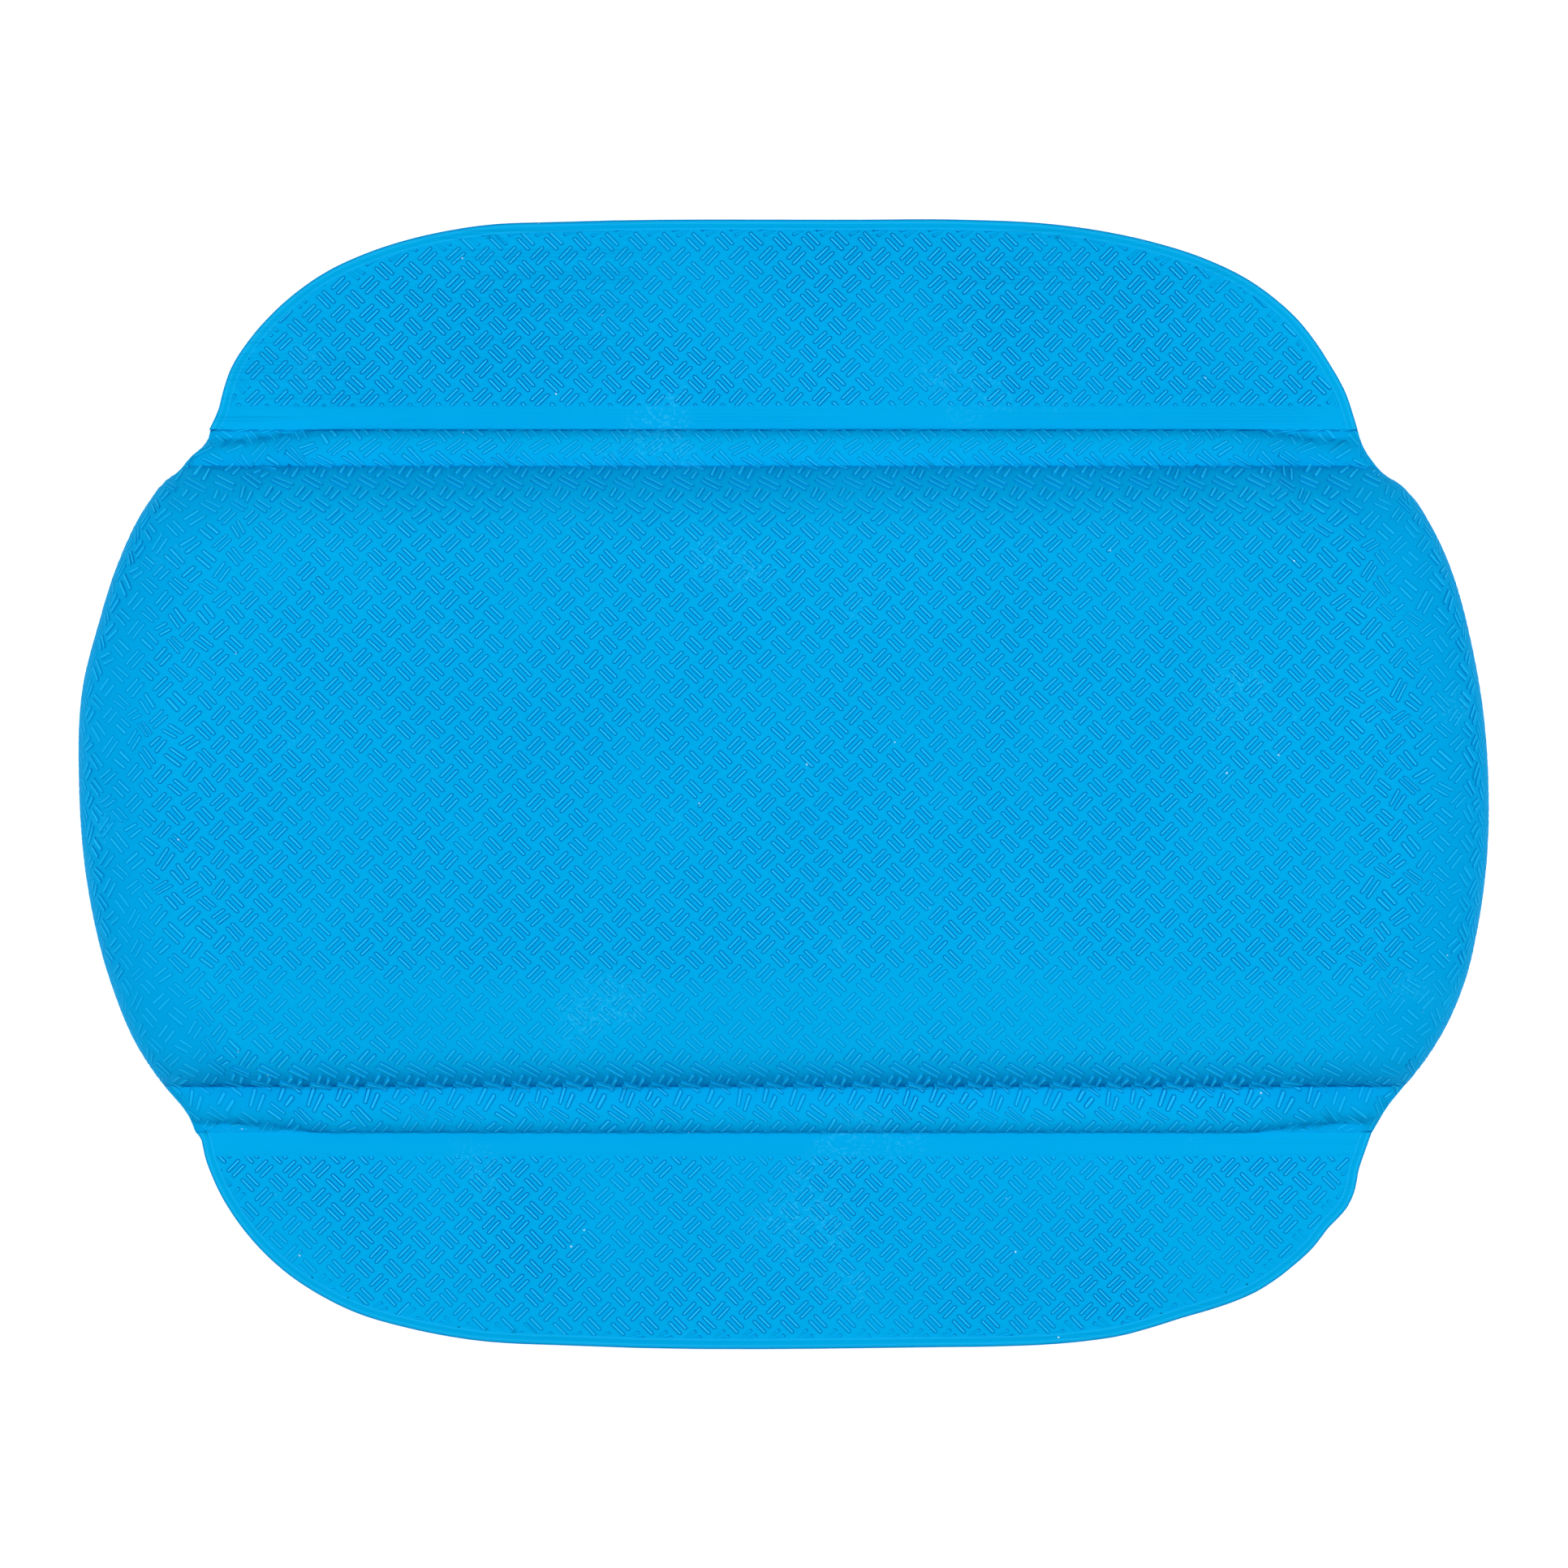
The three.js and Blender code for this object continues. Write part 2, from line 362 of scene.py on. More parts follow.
# One cell's edge points, in half cells from its middle
EDGE_STEPS = [(-1, -1), (0, -1), (1, -1), (1, 0), (1, 1), (0, 1), (-1, 1), (-1, 0)]


def pill(half_length, radius):
    """A bar's outline round its two ends, about its own middle."""
    angles = np.radians([-90, -30, 30, 90])
    end = np.stack([half_length - radius + radius * np.cos(angles), radius * np.sin(angles)], axis=1)
    return np.vstack([end, -end])


def cell_template():
    """One cell: the edge points it shares with its neighbours, two raised bars, and the ground round them.
    Gives the bars' points, their relief, and the faces of the bars' sides, their tops and the ground."""
    half = CELL / 2
    edge = [(a * half, b * half) for a, b in EDGE_STEPS]
    bars, relief, walls, tops, loops = [], [], [], [], []
    for offset in (-BAR_OFFSET, BAR_OFFSET):
        first = len(EDGE_STEPS) + len(bars)
        base = pill(BAR_HALF_LENGTH, BAR_HALF_WIDTH)
        brow = pill(BAR_HALF_LENGTH - BAR_BEVEL, BAR_HALF_WIDTH - BAR_BEVEL)
        spine = np.array([(BAR_HALF_LENGTH - BAR_HALF_WIDTH, 0), (BAR_HALF_WIDTH - BAR_HALF_LENGTH, 0)])
        bars.extend(np.vstack([base, brow, spine]) + [0, offset])
        around = len(base)
        relief.extend([BAR_SINK] * around + [BAR_SHOULDER] * around + [1, 1])
        loops.append(range(first, first + around))
        right, left = first + around, first + around + around // 2
        tip, tail = first + 2 * around, first + 2 * around + 1
        for k in range(around):
            following = (k + 1) % around
            walls.append((first + k, first + following, right + following, right + k))
        for k in range(around // 2 - 1):
            tops.append((right + k, right + k + 1, tip))
            tops.append((left + k, left + k + 1, tail))
        tops.append((left - 1, left, tail, tip))
        tops.append((right + around - 1, right, tip, tail))
    return np.array(bars), np.array(relief, float), walls, tops, ground_faces(edge, bars, loops)


def ground_faces(edge, bars, loops):
    """Triangles between the cell's edge and the feet of its bars."""
    points = [Vector(xy) for xy in edge] + [Vector(xy) for xy in bars]
    used = [*range(len(edge)), *(i for loop in loops for i in loop)]
    slot = {index: k for k, index in enumerate(used)}
    rings = [range(len(edge)), *loops]
    borders = [
        (slot[ring[k]], slot[ring[(k + 1) % len(ring)]]) for ring in rings for k in range(len(ring))
    ]
    triangles = geometry.delaunay_2d_cdt([points[i] for i in used], borders, [], 0, 1e-6)[2]
    kept = []
    for triangle in triangles:
        corners = [used[k] for k in triangle]
        middle = sum((points[i] for i in corners), Vector((0, 0))) / len(corners)
        if not any(in_pill(middle, offset) for offset in (-BAR_OFFSET, BAR_OFFSET)):
            kept.append(tuple(corners))
    return kept


def in_pill(point, offset):
    """Whether the point is well inside the bar at this offset."""
    run = max(abs(point.x) - (BAR_HALF_LENGTH - BAR_HALF_WIDTH), 0)
    return math.hypot(run, point.y - offset) < BAR_HALF_WIDTH * 0.9


# Half the side of the lattice, over the pad's half length: enough for its corners to cover the pad's
SPAN = 1.27


def weave(inside, shift):
    """The flat emboss over every cell whose middle is inside: points as (p, q, relief), the faces, and each
    face's kind, which also starts its painted light: 1 for a bar's steep side, painted shade, -1 for its
    top, painted highlight, and 0 for the ground."""
    bars, relief, walls, tops, ground = cell_template()
    span = 2 * int(SPAN * HALF_LENGTH / CELL)
    i, j = (grid.ravel() for grid in np.meshgrid(np.arange(span), np.arange(span), indexing="ij"))
    middle = np.stack([i - span / 2, j - span / 2], axis=1) * CELL

    def turned(points):
        p = (points[..., 0] - points[..., 1]) / math.sqrt(2) + shift[0]
        q = (points[..., 0] + points[..., 1]) / math.sqrt(2) + shift[1]
        return np.stack([p, q], axis=-1)

    kept = inside(*turned(middle).T)
    i, j, middle = i[kept], j[kept], middle[kept]
    odd = (i + j) % 2 == 1
    steps = np.array(EDGE_STEPS)
    steps_odd = np.stack([-steps[:, 1], steps[:, 0]], axis=1)
    size = 2 * span + 1
    lattice = np.stack([2 * i + 1, 2 * j + 1], axis=1)[:, None, :]
    lattice = lattice + np.where(odd[:, None, None], steps_odd, steps)
    keys, shared = np.unique(lattice[..., 0] * size + lattice[..., 1], return_inverse=True)
    shared = shared.reshape(len(i), len(steps))
    corners = np.stack([keys // size - 1 - span, keys % size - 1 - span], axis=1) * CELL / 2
    bars_odd = np.stack([-bars[:, 1], bars[:, 0]], axis=1)
    raised = middle[:, None, :] + np.where(odd[:, None, None], bars_odd, bars)
    own = len(keys) + np.arange(len(i))[:, None] * len(bars) + np.arange(len(bars))
    index = np.hstack([shared, own])
    flat = np.vstack([turned(corners), turned(raised).reshape(-1, 2)])
    relief = np.concatenate([np.zeros(len(keys)), np.tile(relief, len(i))])
    made = [tuple(row) for face in walls + tops + ground for row in index[:, list(face)].tolist()]
    painted_light = np.repeat([1.0, -1.0, 0.0], [len(kind) * len(i) for kind in (walls, tops, ground)])
    return np.column_stack([flat, relief]), made, painted_light


def cut_lines(points, faces, painted_light, lines, low, high):
    """Splits the flat sheet along lines of constant q, and drops what lies below low or above high, where
    these aren't None."""
    mesh = bpy.data.meshes.new("flat")
    mesh.from_pydata(points.tolist(), [], faces)
    mesh.attributes.new("painted_light", "FLOAT", "FACE").data.foreach_set("value", painted_light)
    sheet = bmesh.new()
    sheet.from_mesh(mesh)
    bpy.data.meshes.remove(mesh)
    cuts = [(line, 1, False) for line in lines]
    cuts += [(at, facing, True) for at, facing in [(low, -1), (high, 1)] if at is not None]
    for at, facing, drop in cuts:
        bmesh.ops.bisect_plane(
            sheet, geom=[*sheet.verts, *sheet.edges, *sheet.faces], dist=1e-5,
            plane_co=(0, at, 0), plane_no=(0, facing, 0), clear_outer=drop,
        )
    return sheet


def mark_bars(sheet):
    """Keeps crisp lines at the foot and the brow of each bar's steep sides."""
    layer = sheet.faces.layers.float["painted_light"]
    for face in sheet.faces:
        face.smooth = True
        face.tag = face[layer] > 0.5
    for edge in sheet.edges:
        beside = [face.tag for face in edge.link_faces]
        edge.smooth = not (len(beside) == 2 and beside[0] != beside[1])


def shade_bars(sheet, side_shade, top_highlight):
    """Scales the painted shade on the bars' steep sides and the painted highlight on their tops, both
    painted into the vinyl's colour.
    """
    layer = sheet.faces.layers.float["painted_light"]
    side_shade, top_highlight = side_shade.tolist(), top_highlight.tolist()
    for face in sheet.faces:
        if face[layer]:
            strength = side_shade if face[layer] > 0 else top_highlight
            face[layer] *= min(strength[vert.index] for vert in face.verts)


def shade_creases(sheet):
    """Paints shade into the ground's colour, deeper towards the ends, the creases and the feet. The sheet is
    still flat.
    """
    layer = sheet.faces.layers.float["painted_light"]
    ground = [face for face in sheet.faces if not face[layer]]
    p, q, _ = np.array([face.calc_center_median() for face in ground]).T
    # Painted shade: some towards the ends, then more beside the creases on the walls and along the feet
    shade = 0.2 * smoothstep(42, 28, pad_end(p, q) - np.abs(p))
    for side in SIDES:
        past = past_crease(side, q)
        depth, reach = side["crease_shade"]
        shade += depth * np.exp(-((past / reach) ** 2)) * (past < 0)
        shade += side["foot_shade"] * (side["sign"] * (arc_at(side["sign"] * side["foot"]) - q) < FOOT_LINE)
    for face, value in zip(ground, shade.tolist()):
        face[layer] = value


def drop_outside(sheet, outside):
    """Removes the faces that lie wholly outside, and the points that are left on their own."""
    gone = [face for face in sheet.faces if all(outside[vert.index] for vert in face.verts)]
    bmesh.ops.delete(sheet, geom=gone, context="FACES")


def to_object(name, sheet, material):
    mesh = bpy.data.meshes.new(name)
    sheet.to_mesh(mesh)
    sheet.free()
    mesh.materials.append(material)
    obj = bpy.data.objects.new(name, mesh)
    bpy.context.scene.collection.objects.link(obj)
    return obj


def flat_arrays(sheet):
    """The flat sheet's points as three arrays: p, q and relief."""
    sheet.verts.index_update()
    return np.array([vert.co for vert in sheet.verts]).T


def set_places(sheet, places):
    for vert, place in zip(sheet.verts, (places * MM).tolist()):
        vert.co = place


def grid_mesh(name, grids, material):
    """A closed skin through grids of points that share their borders. Each grid is [row, column, xyz]."""
    sheet = bmesh.new()
    for grid in grids:
        rows, columns = grid.shape[:2]
        verts = [[sheet.verts.new(point) for point in row] for row in (grid * MM).tolist()]
        for r in range(rows - 1):
            for c in range(columns - 1):
                sheet.faces.new((verts[r][c], verts[r][c + 1], verts[r + 1][c + 1], verts[r + 1][c]))
    bmesh.ops.remove_doubles(sheet, verts=sheet.verts, dist=2e-6)
    bmesh.ops.dissolve_degenerate(sheet, edges=sheet.edges, dist=1e-6)
    bmesh.ops.recalc_face_normals(sheet, faces=sheet.faces)
    for face in sheet.faces:
        face.smooth = True
    return to_object(name, sheet, material)


# Materials

class Nodes:
    """A short way to build a node tree."""

    def __init__(self, name):
        self.material = bpy.data.materials.new(name)
        self.material.use_nodes = True
        self.tree = self.material.node_tree
        self.shader = self.tree.nodes["Principled BSDF"]
        self.place = self.add("ShaderNodeTexCoord").outputs["Object"]

    def add(self, kind, inputs=(), **settings):
        node = self.tree.nodes.new(kind)
        for name, value in settings.items():
            setattr(node, name, value)
        for name, value in dict(inputs).items():
            self.put(node.inputs[name], value)
        return node

    def put(self, socket, value):
        if isinstance(value, bpy.types.NodeSocket):
            self.tree.links.new(value, socket)
        else:
            socket.default_value = value

    def noise(self, scale, detail=3.0):
        node = self.add("ShaderNodeTexNoise", {"Vector": self.place, "Scale": scale, "Detail": detail})
        return node.outputs["Fac"]

    def voronoi(self, scale, **settings):
        node = self.add("ShaderNodeTexVoronoi", {"Vector": self.place, "Scale": scale}, **settings)
        return node.outputs["Distance"]

    def face_value(self, name):
        return self.add("ShaderNodeAttribute", attribute_name=name).outputs["Fac"]

    def ramp(self, value, *stops):
        """Colours along the value. Each stop is (value, colour)."""
        node = self.add("ShaderNodeValToRGB", {"Fac": value})
        elements = node.color_ramp.elements
        for element, (at, colour) in zip(elements, (stops[0], stops[-1])):
            element.position, element.color = at, colour
        for at, colour in stops[1:-1]:
            elements.new(at).color = colour
        return node.outputs["Color"]

    def mix(self, factor, first, second):
        """Mixes two colours, with the factor held between 0 and 1."""
        node = self.add("ShaderNodeMix", data_type="RGBA", clamp_factor=True)
        self.put(node.inputs["Factor"], factor)
        self.put(node.inputs[6], first)
        self.put(node.inputs[7], second)
        return node.outputs[2]

    def times(self, first, second):
        node = self.add("ShaderNodeMath", operation="MULTIPLY")
        self.put(node.inputs[0], first)
        self.put(node.inputs[1], second)
        return node.outputs[0]

    def bump(self, height, strength, distance, below=None):
        inputs = {"Height": height, "Strength": strength, "Distance": distance}
        if below is not None:
            inputs["Normal"] = below
        return self.add("ShaderNodeBump", inputs).outputs["Normal"]

    def finish(self, **sockets):
        """Sets the shader's sockets, whose names are given with _ for each space."""
        for name, value in sockets.items():
            self.put(self.shader.inputs[name.replace("_", " ")], value)
        return self.material


WHITE = (1, 1, 1, 1)
BLACK = (0, 0, 0, 1)
AZURE = (0.0003, 0.364, 0.738, 1)
AZURE_DEEP = (0.0002, 0.355, 0.724, 1)
AZURE_LIGHT = (0.0004, 0.373, 0.752, 1)
PAINTED_SHADE_AND_TOOLING = (0.0001, 0.192, 0.515, 1)
PAINTED_HIGHLIGHT = (0.0120, 0.475, 0.870, 1)
SHEEN = (0.01, 0.50, 1, 1)
SCUFF = (0.03, 0.50, 0.86, 1)
SPECK = (0.75, 0.93, 1, 1)
CUP_COOL = (0.80, 0.90, 0.95, 1)
CUP_CLEAR = (0.90, 0.96, 0.98, 1)
FOAM_PORE = (0.55, 0.50, 0.38, 1)
FOAM_CREAM = (0.86, 0.82, 0.70, 1)
PAPER_LOW = (0.93, 0.93, 0.93, 1)
PAPER_HIGH = (0.95, 0.95, 0.95, 1)


def tooling_lines(nodes):
    """Fine lines along the flaps, left by the mould's tooling, where they haven't worn away."""
    grooves = nodes.add("ShaderNodeTexWave", {
        "Vector": nodes.place, "Scale": 340, "Distortion": 0.5, "Detail": 1.0,
    }, bands_direction="Y").outputs["Fac"]
    drawn_out = nodes.add("ShaderNodeMapping", {"Vector": nodes.place, "Scale": (14, 600, 14)})
    breaks = nodes.add("ShaderNodeTexNoise", {
        "Vector": drawn_out.outputs["Vector"], "Scale": 1.0, "Detail": 1.0,
    }).outputs["Fac"]
    lines = nodes.times(grooves, nodes.ramp(breaks, (0.40, BLACK), (0.60, WHITE)))
    lines = nodes.times(lines, nodes.face_value("tooled"))
    return nodes.times(lines, nodes.ramp(nodes.noise(19, 2.0), (0.38, BLACK), (0.62, WHITE)))


def embossed_vinyl():
    """Foamed vinyl skin: clouded azure, with painted shade beside the bars, by the creases, feet and ends
    and on the rim's edge, painted highlight on the bars' tops and the rim's ridge, fine grain, a few chalky
    rubs, specks of dust and, on the flaps, tooling lines."""
    nodes = Nodes("embossed_vinyl")
    clouds = nodes.ramp(nodes.noise(14), (0.35, AZURE_DEEP), (0.52, AZURE), (0.7, AZURE_LIGHT))
    painted_light = nodes.face_value("painted_light")
    # Painted shade: the bars' steep sides, the ground by the creases, feet and ends, and the rim's edge
    # darken towards this colour
    colour = nodes.mix(painted_light, clouds, PAINTED_SHADE_AND_TOOLING)
    # Painted highlight: the bars' tops and the rim's ridge lighten towards this colour
    colour = nodes.mix(nodes.times(painted_light, -1.0), colour, PAINTED_HIGHLIGHT)
    where = nodes.ramp(nodes.noise(31, 2.0), (0.62, BLACK), (0.72, WHITE))
    streaks = nodes.ramp(nodes.noise(1400, 2.0), (0.52, BLACK), (0.66, WHITE))
    rubs = nodes.times(nodes.times(where, streaks), 0.4)
    colour = nodes.mix(rubs, colour, SCUFF)
    specks = nodes.ramp(nodes.voronoi(95), (0.014, WHITE), (0.024, BLACK))
    colour = nodes.mix(nodes.times(specks, 0.8), colour, SPECK)
    lines = tooling_lines(nodes)
    # The tooling lines darken towards the same colour as the painted shade
    colour = nodes.mix(nodes.times(lines, 0.24), colour, PAINTED_SHADE_AND_TOOLING)
    grain = nodes.bump(nodes.noise(2600, 2.0), 0.12, 0.0002)
    soft = nodes.bump(nodes.noise(260, 3.0), 0.10, 0.0006, grain)
    tooled = nodes.bump(lines, 0.7, 0.00012, soft)
    roughness = nodes.add("ShaderNodeMapRange", {
        "Value": nodes.noise(60, 3.0), "To Min": 0.46, "To Max": 0.62,
    }).outputs["Result"]
    return nodes.finish(
        Base_Color=colour, Roughness=roughness, Specular_IOR_Level=0.003, Specular_Tint=SHEEN,
        Normal=tooled,
    )


def back_vinyl():
    """The smooth sheet on the back: the same azure, a leathery pebble and a few creases."""
    nodes = Nodes("back_vinyl")
    colour = nodes.ramp(nodes.noise(22), (0.36, AZURE_DEEP), (0.64, AZURE))
    pebble = nodes.bump(nodes.voronoi(1500, feature="SMOOTH_F1"), 0.25, 0.0002)
    creases = nodes.bump(nodes.noise(45, 4.0), 0.15, 0.001, pebble)
    return nodes.finish(
        Base_Color=colour, Roughness=0.52, Specular_IOR_Level=0.02, Specular_Tint=SHEEN, Normal=creases,
    )


def cup_vinyl():
    """Clear soft vinyl with a faint cool tint and flow marks from moulding."""
    nodes = Nodes("cup_vinyl")
    flow = nodes.bump(nodes.noise(240, 3.0), 0.08, 0.0004)
    tint = nodes.ramp(nodes.noise(90), (0.3, CUP_COOL), (0.7, CUP_CLEAR))
    return nodes.finish(
        Base_Color=tint, Roughness=0.16, IOR=1.53, Transmission_Weight=0.82, Normal=flow,
    )


def open_foam():
    """Open-cell foam: cream, with small pores."""
    nodes = Nodes("open_foam")
    pores = nodes.voronoi(900)
    colour = nodes.ramp(pores, (0.0, FOAM_PORE), (0.5, FOAM_CREAM))
    return nodes.finish(
        Base_Color=colour, Roughness=0.95, Specular_IOR_Level=0.1, Normal=nodes.bump(pores, 0.8, 0.0008),
    )


def floor_paper():
    """White studio paper, clear from below so that the underside can be seen."""
    nodes = Nodes("floor_paper")
    colour = nodes.ramp(nodes.noise(3, 2.0), (0.3, PAPER_LOW), (0.7, PAPER_HIGH))
    paper = nodes.finish(
        Base_Color=colour, Roughness=0.9, Specular_IOR_Level=0.0,
        Emission_Color=WHITE, Emission_Strength=0.42,
    )
    one_sided = nodes.add("ShaderNodeMixShader")
    nodes.put(one_sided.inputs["Fac"], nodes.add("ShaderNodeNewGeometry").outputs["Backfacing"])
    nodes.put(one_sided.inputs[1], nodes.shader.outputs["BSDF"])
    nodes.put(one_sided.inputs[2], nodes.add("ShaderNodeBsdfTransparent").outputs["BSDF"])
    nodes.put(nodes.tree.nodes["Material Output"].inputs["Surface"], one_sided.outputs["Shader"])
    return paper


EMBOSSED = embossed_vinyl()
BACK = back_vinyl()
CLEAR = cup_vinyl()
FOAM = open_foam()


# The pad

# Where the pad's basket weave starts, along and across
PAD_SHIFT = (2.62, 2.62)
# How much of the emboss's height is worn away along the ends' edges and the brow of the lower wall
END_WEAR = 0.42
BROW_WEAR = 0.45
# How much of it is taken off where it is seen edge on
EDGE_WEAR = 0.85
# How far in from the foot, along the sheet, the shoulder bends from its side to its top
SHOULDER_BEND = 5


def drawn_over_sides(q, key):
    """How far the sheet was pulled or stretched over the walls and the shoulders."""
    return sum(np.interp(past_crease(side, q), PULL_STATIONS, side[key]) for side in SIDES)


def pad_warp(p, q):
    """Where the emboss lands: it drifts a little all over, is jumbled where the sheet was drawn down at the
    ends, and slants where it was pulled over the walls and the shoulders."""
    ends = smoothstep(58, 38, pad_end(p, q) - np.abs(p))
    creases = sum(np.exp(-((past_crease(side, q) / 8) ** 2)) for side in SIDES)
    quick = DRIFT + END_JUMBLE * ends + CREASE_JUMBLE * creases
    along = quick * ripple(p, q, 17, 21) + PAD_SLOW_DRIFT * ripple(p, q, 90, 22)
    across = quick * ripple(p, q, 15, 23) + PAD_SLOW_DRIFT * ripple(p, q, 110, 24)
    return p + drawn_over_sides(q, "pull") + along, q + drawn_over_sides(q, "stretch") + across


def pad_relief(p, q):
    """How tall the emboss stands: worn down where the sheet was stretched, along the ends' edges and the top
    of the lower wall, and taller low on the walls."""
    y = np.interp(q, ARC, SECTION_Y)
    inward = pad_half_length(y, p > 0) - np.abs(pad_place(p, q)[:, 0])
    ends = 1 - END_WEAR * smoothstep(5, 8, inward) * smoothstep(22, 14, inward)
    brow = 1 - BROW_WEAR * smoothstep(arc_at(-42), arc_at(-52), q) * smoothstep(arc_at(-70), arc_at(-62), q)
    patchy = 0.88 + 0.14 * ripple(p, q, 48, 31) + 0.09 * ripple(p, q, 14, 32)
    strength = np.clip(ends * brow * patchy, 0.2, 1.15)
    for side in SIDES:
        past = past_crease(side, q)
        wall = 1 + side["bold"] * smoothstep(-11, -5, past)
        strength *= np.where(past < 0, wall, side["shoulder_relief"])
    return strength


def pad_smooth_edges(p, q, inland):
    """Leaves the emboss off the rim, about 1 mm of it, or 3 mm beside the shoulders' ends, and off what lies
    beyond the drawn-in feet."""
    y = np.interp(q, ARC, SECTION_Y)
    shoulder = smoothstep(76, 80, np.abs(y))
    foot = np.where(y > 0, UPPER["foot"], LOWER["foot"])
    beyond = np.abs(y) + foot_draw(p, y) - foot
    return smoothstep(0.2 + 2.0 * shoulder, 1.2 + 2.6 * shoulder, inland) * smoothstep(0.3, -0.5, beyond)


def flat_pad_sheet():
    """The cover's emboss while it is flat, cut to the section's width, with points along its sharp bends."""
    low, high = ARC[0], ARC[-1]

    def near(p, q):
        p, q = pad_warp(p, q)
        margin = 2.2 * CELL
        return (q > low - margin) & (q < high + margin) & (np.abs(p) < pad_end(p, q) + margin)

    points, faces, painted_light = weave(near, PAD_SHIFT)
    points[:, 0], points[:, 1] = pad_warp(points[:, 0], points[:, 1])
    creases = [arc_at(crease_of(side)) for side in SIDES]
    bends = [at for inward in (FOOT_LINE, SHOULDER_BEND) for at in (low + inward, high - inward)]
    sheet = cut_lines(points, faces, painted_light, creases + bends, low, high)
    mark_bars(sheet)
    for edge in sheet.edges:
        if any(all(abs(vert.co.y - crease) < 1e-3 for vert in edge.verts) for crease in creases):
            edge.smooth = False
    return sheet


def edge_on(normals, inland):
    """From 0 to 1 where the ends' sides stand upright, so that the relief would roughen their outline."""
    return smoothstep(0.8, 0.97, np.hypot(normals[:, 0], normals[:, 1])) * smoothstep(40, 30, inland)


def make_pad_cover():
    sheet = flat_pad_sheet()
    p, q, relief = flat_arrays(sheet)
    rim = pad_end(p, q)
    outside = np.abs(p) > rim
    p = np.sign(p) * np.minimum(np.abs(p), rim)
    inland = rim - np.abs(p)
    strength = pad_relief(p, q) * pad_smooth_edges(p, q, inland)
    # How strongly the bars' sides get painted shade and their tops painted highlight
    side_shade = np.minimum(strength, 1.6 - 0.8 * strength).clip(0.4, 1)
    top_highlight = np.maximum(side_shade, strength - 0.5)
    shade_bars(sheet, np.where(outside, 0, side_shade), np.where(outside, 0, top_highlight))
    shade_creases(sheet)
    normals = pad_normals(np.sign(p) * np.minimum(np.abs(p), rim - 0.2), q)
    height = RELIEF * relief * strength * (1 - EDGE_WEAR * edge_on(normals, inland))
    set_places(sheet, pad_place(p, q) + normals * height[:, None])
    drop_outside(sheet, outside)
    cover = to_object("pad_cover_skin", sheet, EMBOSSED)
    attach(cover, "pad")
    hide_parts("pad_cover")


# The flaps

def flap_outline(side, spacing=1.2):
    """The flap's edge as evenly spaced points, from the right end of its foot out and round to the left."""
    right = smooth_curve(side["right"])
    left = smooth_curve(side["left"]) * [-1, 1]
    edge = np.vstack([right, left[::-1]])
    edge = smooth_curve(np.vstack([edge[::6], edge[-1:]]), 6)
    run = np.concatenate([[0], np.cumsum(np.linalg.norm(np.diff(edge, axis=0), axis=1))])
    at = np.linspace(0, run[-1], int(run[-1] / spacing))
    edge = np.stack([np.interp(at, run, edge[:, k]) for k in (0, 1)], axis=1)
    return edge * [1, side["sign"]]


def inward_normals(edge, sign):
    """Unit directions from the flap's edge towards its middle."""
    along = np.gradient(edge, axis=0)
    along /= np.linalg.norm(along, axis=1, keepdims=True)
    return np.stack([-along[:, 1], along[:, 0]], axis=1) * sign


def inside_loop(x, y, loop):
    """Whether each point is inside the closed loop, by counting crossings."""
    inside = np.zeros(len(x), bool)
    for (x0, y0), (x1, y1) in zip(loop, np.roll(loop, -1, axis=0)):
        if y0 == y1:
            continue
        crosses = (y0 > y) != (y1 > y)
        inside ^= crosses & (x < (x1 - x0) * (y - y0) / (y1 - y0) + x0)
    return inside


def nearest_on(edge, x, y):
    """The nearest point of the edge to each point."""
    start, step = edge[:-1], np.diff(edge, axis=0)
    points = np.stack([x, y], axis=1)[:, None, :]
    t = np.clip(((points - start) * step).sum(2) / (step**2).sum(1), 0, 1)
    found = start + t[..., None] * step
    best = np.linalg.norm(found - points, axis=2).argmin(1)
    return found[np.arange(len(x)), best]


def flap_level(side, x, y):
    """The flap's top: flat at the band, a little wavy beyond it, with a fine groove between the two."""
    out = y * side["sign"] - side["foot"] - BAND
    wave = 0.25 * ripple(x, y, 80, 41 + side["sign"]) * smoothstep(0, 14, out)
    groove = 0.16 * np.exp(-((out / 0.3) ** 2))
    return FLAP_TOP + wave - groove


def flat_flap_sheet(side, loop):
    """A flap's emboss while it is flat, cut at the foot, and with points across the band where it folds."""
    sign, foot = side["sign"], side["foot"]

    def near(p, q):
        return (q * sign > foot - CELL) & inside_loop(p, q, loop * [1.05, 1.06])

    points, faces, painted_light = weave(near, side["shift"])
    p, q = points[:, 0].copy(), points[:, 1].copy()
    points[:, 0] += DRIFT * ripple(p, q, 18, 51) + FLAP_SLOW_DRIFT * ripple(p, q, 70, 52)
    points[:, 1] += DRIFT * ripple(p, q, 18, 53) + FLAP_SLOW_DRIFT * ripple(p, q, 70, 54)
    bends = [sign * (foot + BAND * k / 8) for k in range(1, 8)]
    groove = [sign * (foot + BAND + step) for step in (-0.4, 0, 0.4)]
    low, high = (foot, None) if sign > 0 else (None, -foot)
    sheet = cut_lines(points, faces, painted_light, bends + groove, low, high)
    mark_bars(sheet)
    return sheet


